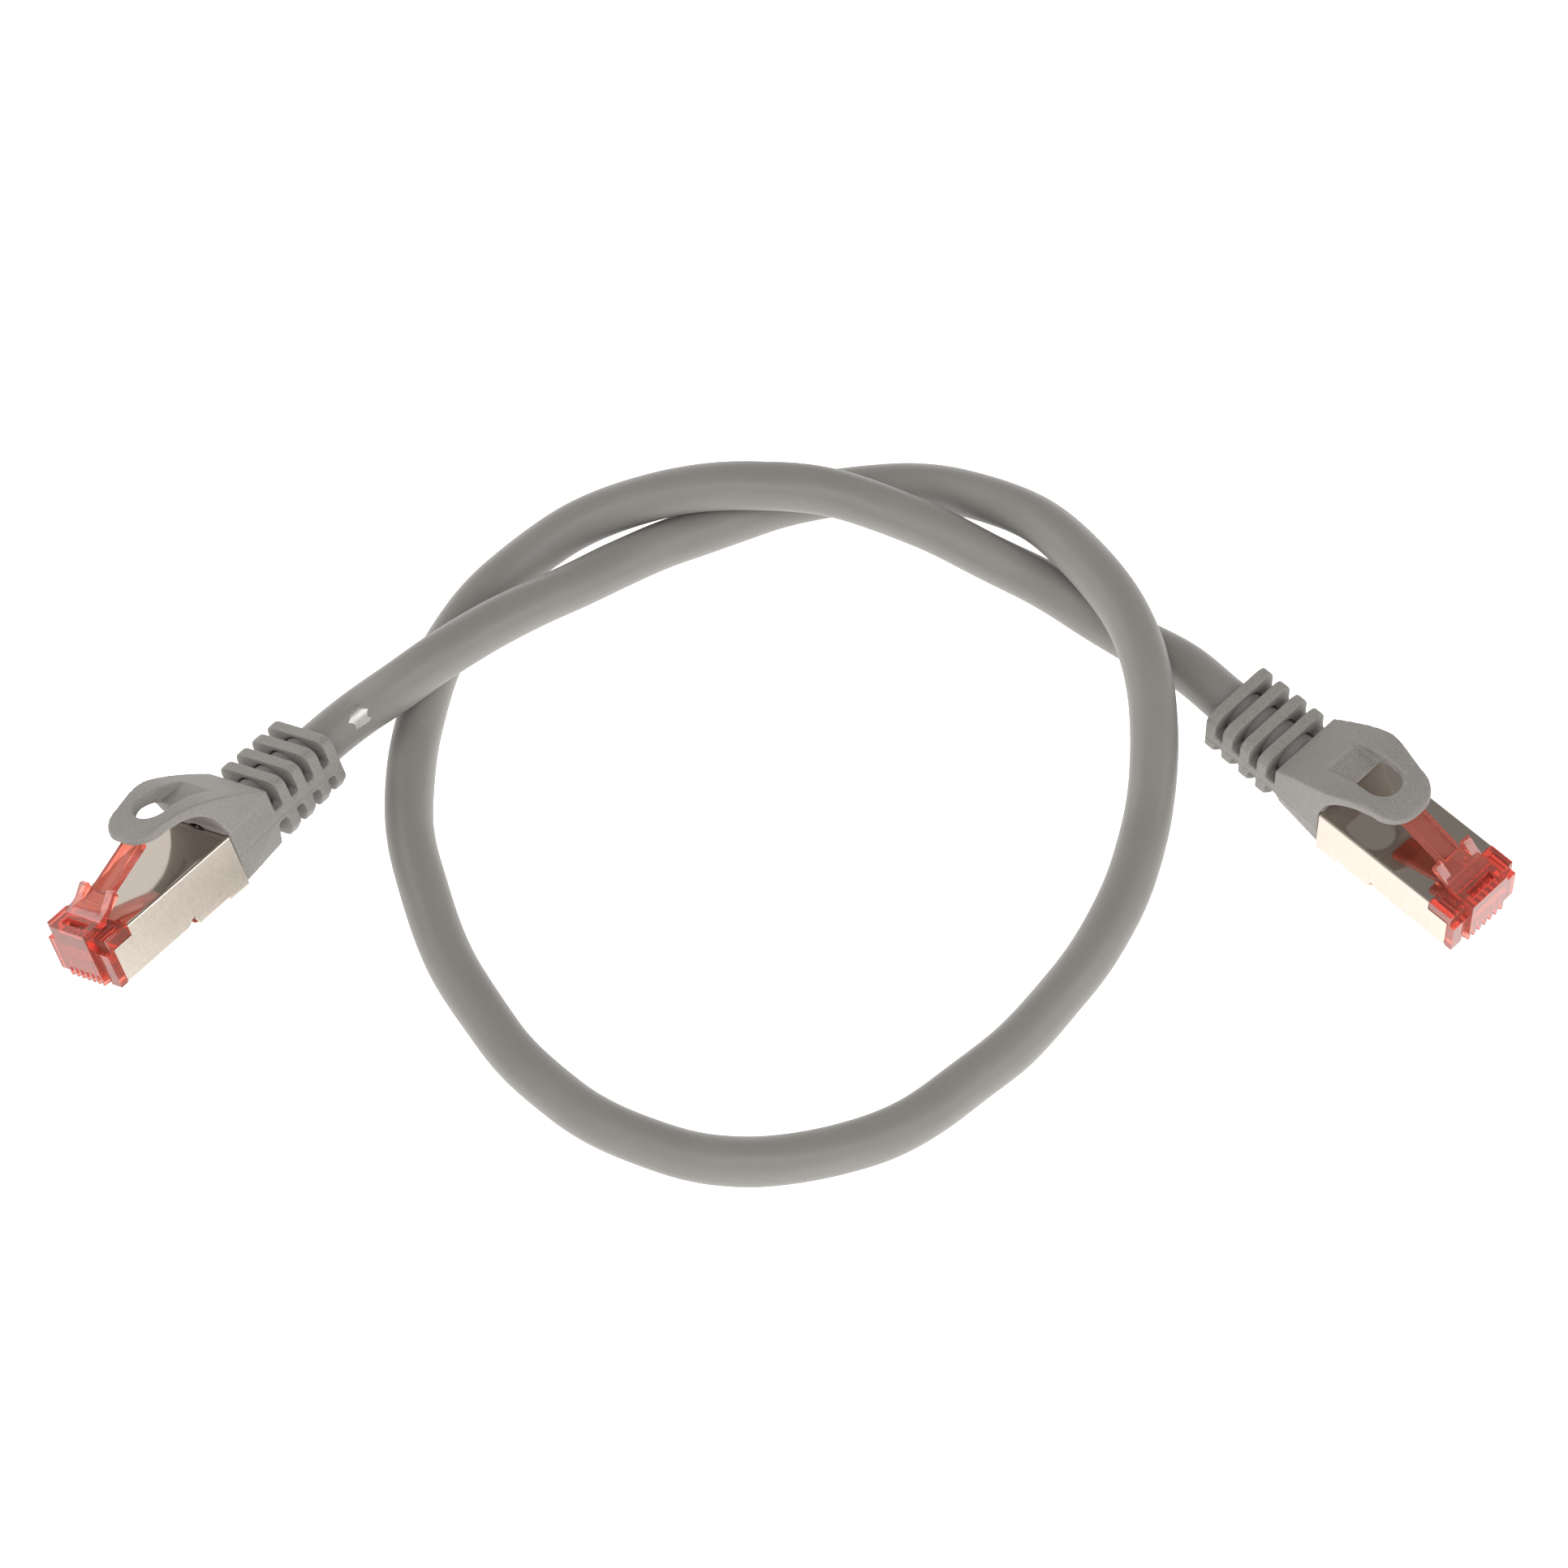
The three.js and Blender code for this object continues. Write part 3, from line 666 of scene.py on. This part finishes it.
class Nodes:
    """A node tree, and one way to add a node to it."""

    def __init__(self, tree):
        self.tree = tree

    def plug(self, socket, value):
        if isinstance(value, Flow):
            self.tree.links.new(value.socket, socket)
        else:
            socket.default_value = value

    def node(self, kind, settings=None, sockets=None, out=0):
        made = self.tree.nodes.new(kind)
        for name, value in (settings or {}).items():
            if name == "stops":
                ramp = made.color_ramp.elements
                while len(ramp) < len(value):
                    ramp.new(0.5)
                for stop, (place, level) in zip(ramp, value):
                    stop.position = place
                    stop.color = (level, level, level, 1)
            else:
                setattr(made, name, value)
        for name, value in (sockets or {}).items():
            self.plug(made.inputs[name], value)
        return Flow(self, made.outputs[out])

    def ramp(self, value, *stops):
        return self.node("ShaderNodeValToRGB", {"stops": stops}, {"Fac": value})


class Paint(Nodes):
    """A material with its main shader."""

    def __init__(self, name, **constants):
        self.material = bpy.data.materials.new(name)
        self.material.use_nodes = True
        super().__init__(self.material.node_tree)
        self.shader = self.tree.nodes["Principled BSDF"]
        self.set(**constants)

    def set(self, **sockets):
        for name, value in sockets.items():
            self.plug(self.shader.inputs[name.replace("_", " ")], value)

    def place(self):
        return self.node("ShaderNodeTexCoord", out="Object")

    def noise(self, size, detail=2, roughness=0.5):
        """Noise whose blobs are about this many millimetres across, from 0 to 1."""
        sockets = {"Vector": self.place(), "Scale": 1 / (size * MM)}
        return self.node(
            "ShaderNodeTexNoise", None, {**sockets, "Detail": detail, "Roughness": roughness}
        )

    def mix(self, share, one, other):
        """From colour one to the other as share goes from 0 to 1."""
        sockets = {0: share, 6: colour(one), 7: colour(other)}
        return self.node("ShaderNodeMix", {"data_type": "RGBA"}, sockets, out=2)

    def bump(self, height, depth, strength=1.0):
        sockets = {"Height": height, "Distance": depth * MM, "Strength": strength}
        return self.node("ShaderNodeBump", None, sockets)


def colour(value):
    return value if isinstance(value, Flow) else (*value, 1)


# %% [markdown]
# ## Grey vinyl
# The boot's mould is spark-eroded, so the boot is dull with a very fine grain; its edges get a
# painted highlight. The jacket is drawn through a die, so it is smoother, with faint rub marks.


# %% Boot and jacket
def boot_vinyl():
    paint = Paint("boot_vinyl", Specular_IOR_Level=0.35)
    grain = paint.noise(0.2, 3, 0.7)
    cloud = paint.noise(3.5)
    bend = paint.node("ShaderNodeNewGeometry", out="Pointiness")
    # Painted highlight: sharp convex edges (high pointiness) are mixed towards a paler grey.
    painted_edge_highlight = paint.ramp(bend, (0.5, 0), (0.6, 1))
    fleck = paint.ramp(grain, (0.3, 0), (0.7, 1))
    base = paint.mix(fleck, (0.195, 0.185, 0.173), (0.315, 0.3, 0.283))
    base = paint.mix(cloud * 0.25, base, (0.24, 0.228, 0.215))
    paint.set(Base_Color=paint.mix(painted_edge_highlight * 0.22, base, (0.4, 0.385, 0.365)))
    paint.set(Roughness=0.5 + grain * 0.22)
    paint.set(Normal=paint.bump(grain, 0.045, 0.7))
    return paint.material


def jacket_vinyl():
    paint = Paint("jacket_vinyl", Specular_IOR_Level=0.42)
    grain = paint.noise(0.14, 2, 0.6)
    cloud = paint.noise(11)
    rubbed = paint.ramp(paint.noise(5, 6, 0.75), (0.6, 0), (0.72, 1))
    base = paint.mix(cloud, (0.2, 0.191, 0.179), (0.24, 0.231, 0.217))
    base = paint.mix(grain * 0.35, base, (0.27, 0.26, 0.246))
    paint.set(Base_Color=paint.mix(rubbed * 0.12, base, (0.38, 0.37, 0.35)))
    paint.set(Roughness=0.4 + cloud * 0.1 + rubbed * 0.12)
    paint.set(Normal=paint.bump(grain, 0.014, 0.5))
    return paint.material


def dress(piece, material):
    piece.data.materials.clear()
    piece.data.materials.append(material)


vinyl = boot_vinyl()
for piece in boots:
    dress(piece, vinyl)
dress(jacket, jacket_vinyl())
print("vinyl on", len(boots) + 1, "pieces")

# %% [markdown]
# ## Clear red plastic
# The housing and latch are tinted polycarbonate. It looks pale pink where it is thin and deep red
# where it is thick, which no surface colour gives. A glass-like surface with an absorbing volume
# inside does it by itself.


# %% Housing and latch
def red_polycarbonate():
    paint = Paint("red_polycarbonate", IOR=1.5, Transmission_Weight=0.78)
    flow_marks = paint.noise(1.6, 3)
    paint.set(Base_Color=paint.mix(flow_marks, (0.83, 0.25, 0.18), (0.88, 0.31, 0.24)))
    paint.set(Roughness=0.02 + flow_marks * 0.06)
    paint.set(Normal=paint.bump(flow_marks, 0.02, 0.5))
    absorb = paint.tree.nodes.new("ShaderNodeVolumeAbsorption")
    absorb.inputs["Color"].default_value = (0.95, 0.25, 0.17, 1)
    absorb.inputs["Density"].default_value = 360
    output = paint.tree.nodes["Material Output"]
    paint.tree.links.new(absorb.outputs[0], output.inputs["Volume"])
    return paint.material


red = red_polycarbonate()
for piece in latches:
    dress(piece, red)
for side in PLUGS:
    dress(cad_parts[side + "_housing"], red)
print("red plastic on", 2 * len(PLUGS), "pieces")

# %% [markdown]
# ## Plated sheet
# The shield is thin nickel-plated sheet. Its top is nearly a mirror, and its sides, which were
# drawn over the folding tool, are satin with a fine mottle. The share of each comes from how far a
# face looks along the plug's own upward direction.


# %% Shields
def plated_sheet(side):
    paint = Paint(side + "_plated_sheet", Metallic=1.0)
    upward = (PLACES[side].to_3x3() @ Vector((0, 0, 1))).normalized()
    facing = paint.node("ShaderNodeNewGeometry", out="Normal")
    sockets = {0: facing, 1: tuple(upward)}
    top = paint.node("ShaderNodeVectorMath", {"operation": "DOT_PRODUCT"}, sockets, out="Value")
    satin = 1 - paint.ramp(top, (0.2, 0), (0.6, 1))
    mottle = paint.noise(0.5, 4, 0.7)
    fine = paint.noise(0.16, 2)
    blotch = paint.ramp(mottle, (0.35, 0), (0.65, 1))
    base = paint.mix(blotch * satin, (0.57, 0.51, 0.455), (0.66, 0.6, 0.535))
    paint.set(Base_Color=paint.mix(fine * satin * 0.6, base, (0.49, 0.43, 0.37)))
    paint.set(Roughness=0.08 + satin * (0.2 + mottle * 0.14))
    paint.set(Normal=paint.bump((mottle + fine) * (satin * 0.94 + 0.06), 0.03, 0.5))
    return paint.material


for side, piece in shields.items():
    dress(piece, plated_sheet(side))
print("shields plated")

# %% [markdown]
# ## The inner pieces
# Gold blades, coloured wires, the clear bar that lines them up, and the cord's braid and foil.
# They show through the clear nose or not at all, so each has one plain recipe with a little wear.


# %% Wires, contacts, bar, braid and foil
def metal(name, dark, light, size, roughness):
    paint = Paint(name, Metallic=1.0)
    worn = paint.noise(size, 3)
    paint.set(Base_Color=paint.mix(worn, dark, light))
    paint.set(Roughness=roughness + worn * 0.15)
    paint.set(Normal=paint.bump(worn, 0.02, 0.5))
    return paint.material


def insulation(name, plain, stripe=None):
    paint = Paint(name, Roughness=0.38)
    cloud = paint.noise(1.2)
    base = paint.mix(cloud, [0.9 * c for c in plain], plain)
    if stripe:
        sockets = {"Vector": paint.place(), "Scale": 260.0, "Distortion": 1.5}
        bands = paint.node("ShaderNodeTexWave", None, sockets, out="Fac")
        base = paint.mix(paint.ramp(bands, (0.7, 0), (0.76, 1)), base, stripe)
    paint.set(Base_Color=base)
    paint.set(Normal=paint.bump(cloud, 0.02, 0.3))
    return paint.material


def clear_bar():
    paint = Paint("clear_bar", IOR=1.5, Transmission_Weight=0.9)
    haze = paint.noise(0.9, 3)
    paint.set(Base_Color=paint.mix(haze, (0.93, 0.92, 0.9), (0.99, 0.99, 0.98)))
    paint.set(Roughness=0.06 + haze * 0.12)
    return paint.material


ORANGE, GREEN = (0.75, 0.24, 0.04), (0.05, 0.36, 0.13)
BLUE, BROWN = (0.05, 0.14, 0.5), (0.2, 0.09, 0.04)
WHITE = (0.82, 0.8, 0.76)
WIRES = [
    insulation("wire_white_orange", WHITE, ORANGE),
    insulation("wire_orange", ORANGE),
    insulation("wire_white_green", WHITE, GREEN),
    insulation("wire_blue", BLUE),
    insulation("wire_white_blue", WHITE, BLUE),
    insulation("wire_green", GREEN),
    insulation("wire_white_brown", WHITE, BROWN),
    insulation("wire_brown", BROWN),
]
gold = metal("gold", (0.72, 0.5, 0.2), (0.86, 0.64, 0.3), 0.5, 0.18)
bar = clear_bar()
for side in PLUGS:
    dress(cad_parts[side + "_load_bar"], bar)
    for pin, wire in enumerate(WIRES, 1):
        dress(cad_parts[f"{side}_wire_{pin}"], wire)
        dress(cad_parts[f"{side}_contact_{pin}"], gold)
dress(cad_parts["braid"], metal("tinned_braid", (0.3, 0.29, 0.27), (0.7, 0.69, 0.66), 0.25, 0.3))
foil = metal("foil", (0.6, 0.6, 0.61), (0.8, 0.8, 0.81), 0.8, 0.2)
for pair in ("orange", "blue", "green", "brown"):
    dress(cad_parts[pair + "_pair"], foil)
print("inner pieces painted")

# %% [markdown]
# ## The table and the light
# The cable lies on a white light table: its own glow is what lifts the shadows and brightens the
# clear plastic from below. Soft lamps stand in front and at both sides. High behind the table one
# corner of the room is dim, so that a flat shield mirrors something darker than the table.


# %% Table
def light_table():
    size = 4.0
    corners = [(-size, -size, 0), (size, -size, 0), (size, size, 0), (-size, size, 0)]
    table = mesh_piece("table", corners, [(0, 1, 2, 3)])
    table.location.z = cad_box[0].z - 0.02 * MM
    paint = Paint("light_table", Roughness=0.8)
    paint.set(Base_Color=paint.mix(paint.noise(90), (0.8, 0.8, 0.8), (0.84, 0.84, 0.84)))
    paint.set(Emission_Color=(1.0, 0.99, 0.975, 1), Emission_Strength=1.1)
    dress(table, paint.material)
    return table


light_table()


# %% Lamps and ceiling
def lamp(name, place, size, watts):
    data = bpy.data.lights.new(name, "AREA")
    data.shape = "RECTANGLE"
    data.size, data.size_y = size
    data.energy = watts
    made = bpy.data.objects.new(name, data)
    made.location = place
    made.rotation_euler = Vector(place).to_track_quat("Z", "Y").to_euler()
    scene.collection.objects.link(made)


lamp("front", (0.1, -0.9, 1.5), (1.2, 0.8), 9.5)
lamp("left", (-1.5, 0.6, 0.6), (0.8, 1.2), 9)
lamp("right", (1.33, -0.39, 0.98), (0.6, 0.6), 6)

room = bpy.data.worlds.new("room")
room.use_nodes = True
scene.world = room
walls = Nodes(room.node_tree)
toward = walls.node("ShaderNodeTexCoord", out="Generated")
dark_corner = walls.node(
    "ShaderNodeVectorMath",
    {"operation": "DOT_PRODUCT"},
    {0: toward, 1: (0, math.cos(ELEVATION), math.sin(ELEVATION))},
    out="Value",
)
height = walls.node("ShaderNodeSeparateXYZ", None, {0: toward}, out="Z")
high = walls.ramp(height, (0.1, 0), (0.5, 1))
shade = walls.ramp(dark_corner, (0.74, 0), (0.93, 1))
level = (1.0 - 0.47 * high) * (1 - shade) + 0.3 * shade
walls.plug(room.node_tree.nodes["Background"].inputs["Color"], (1.0, 0.98, 0.955, 1))
walls.plug(room.node_tree.nodes["Background"].inputs["Strength"], level)
scene.view_settings.view_transform = "Standard"
